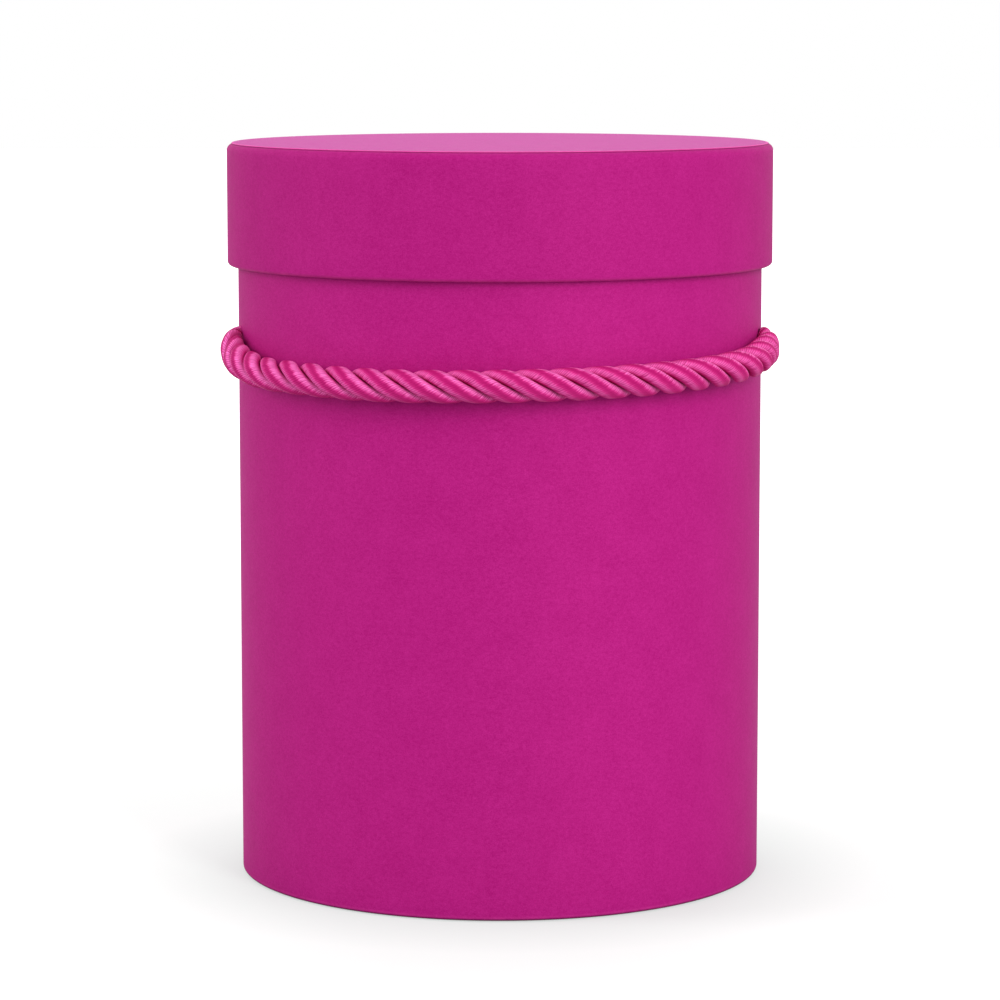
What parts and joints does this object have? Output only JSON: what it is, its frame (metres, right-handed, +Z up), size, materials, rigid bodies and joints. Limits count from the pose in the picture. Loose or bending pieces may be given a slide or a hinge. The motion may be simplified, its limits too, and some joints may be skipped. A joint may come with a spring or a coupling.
{
  "type": "round flower box",
  "caption": "Tall round paper-covered gift box with a deep lift-off lid and a thick twisted cord handle knotted inside the wall.",
  "frame": {"origin": "centre of the underside, on the surface that the box stands on", "axes": "+Z up along the box's axis, -Y to the front where the cord lies, +X to the right as seen from the front"},
  "size_m": [0.1685, 0.1729, 0.2239],
  "materials": {
    "board": "raw grey chipboard",
    "cover_paper": "matte dyed fuchsia paper",
    "lining_paper": "smooth uncoated white paper",
    "satin_cord": "twisted satin yarn, silky sheen",
    "end_tape": "thin clear tape"
  },
  "bodies": {
    "box": {"body_tube": "board", "base_disc": "board", "body_wrap": "cover_paper", "base_cover": "cover_paper", "body_lining": "lining_paper", "base_lining": "lining_paper", "cord_handle": "satin_cord", "left_knot": "satin_cord", "right_knot": "satin_cord", "left_end_tape": "end_tape", "right_end_tape": "end_tape"},
    "lid": {"lid_rim": "board", "lid_disc": "board", "lid_wrap": "cover_paper", "lid_top_cover": "cover_paper", "lid_lining": "lining_paper"}
  },
  "joints": [
    {"name": "lid_lift", "type": "slide", "parent": "box", "child": "lid", "axis": [0, 0, 1], "range_m": [0, 0.18]}
  ]
}
